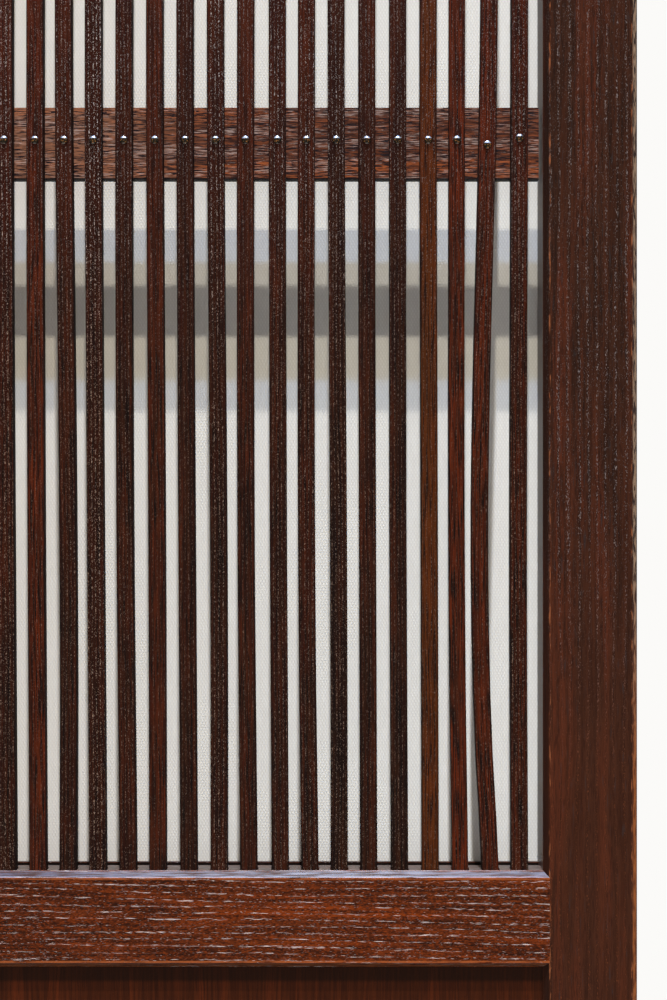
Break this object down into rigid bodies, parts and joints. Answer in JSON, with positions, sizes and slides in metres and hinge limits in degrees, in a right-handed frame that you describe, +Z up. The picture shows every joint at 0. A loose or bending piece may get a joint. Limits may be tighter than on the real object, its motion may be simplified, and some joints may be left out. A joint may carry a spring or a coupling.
{
  "type": "shoji sliding screen",
  "caption": "Sliding lattice screen of dark stained wood with thin upright slats, a skirt panel and a paper insert, in its track frame with sill, head and posts.",
  "frame": {"origin": "on the floor, in the middle of the track frame's foot", "axes": "+X along the track, the way the leaf slides shut; +Y from the lattice side to the room side; +Z up"},
  "size_m": [1.405, 0.1212, 1.8973],
  "materials": {
    "dark_wood": "dark stain, half gloss",
    "red_wood": "red-brown stain, half gloss",
    "panel_wood": "dark stain, half gloss",
    "batten_wood": "brown stain, satin",
    "slat_wood": "dark stain, half gloss",
    "insert_wood": "brown stain, satin",
    "frame_wood": "dark stain, half gloss",
    "nail_steel": "polished",
    "shoji_paper": "matt, fine fibre texture"
  },
  "bodies": {
    "track_frame": {"sill": "frame_wood", "head": "frame_wood", "post_left": "frame_wood", "post_right": "frame_wood"},
    "leaf": {"stile_left": "dark_wood", "stile_right": "dark_wood", "top_rail": "red_wood", "middle_rail": "red_wood", "bottom_rail": "red_wood", "skirt_panel": "panel_wood", "batten_1": "batten_wood", "batten_2": "batten_wood", "batten_3": "batten_wood", "lattice_nails": "nail_steel", "insert_stick_left": "insert_wood", "insert_stick_right": "insert_wood", "insert_stick_bottom": "insert_wood", "insert_stick_top": "insert_wood", "insert_pins": "insert_wood", "kumiko_grid": "insert_wood", "paper": "shoji_paper", "slat_01": "slat_wood", "slat_02": "slat_wood", "slat_03": "slat_wood", "slat_04": "slat_wood", "slat_05": "slat_wood", "slat_06": "slat_wood", "slat_07": "slat_wood", "slat_08": "slat_wood", "slat_09": "slat_wood", "slat_10": "slat_wood", "slat_11": "slat_wood", "slat_12": "slat_wood", "slat_13": "slat_wood", "slat_14": "slat_wood", "slat_15": "slat_wood", "slat_16": "slat_wood", "slat_17": "slat_wood", "slat_18": "slat_wood", "slat_19": "slat_wood", "slat_20": "slat_wood", "slat_21": "slat_wood", "slat_22": "slat_wood", "slat_23": "slat_wood", "slat_24": "slat_wood", "slat_25": "slat_wood", "slat_26": "slat_wood", "slat_27": "slat_wood", "slat_28": "slat_wood", "slat_29": "slat_wood", "slat_30": "slat_wood", "slat_31": "slat_wood", "slat_32": "slat_wood", "slat_33": "slat_wood", "slat_34": "slat_wood", "slat_35": "slat_wood", "slat_36": "slat_wood", "slat_37": "slat_wood", "slat_38": "slat_wood"}
  },
  "joints": [
    {"name": "leaf_slide", "type": "slide", "parent": "track_frame", "child": "leaf", "axis": [1, 0, 0], "range_m": [0, 0.636]}
  ]
}
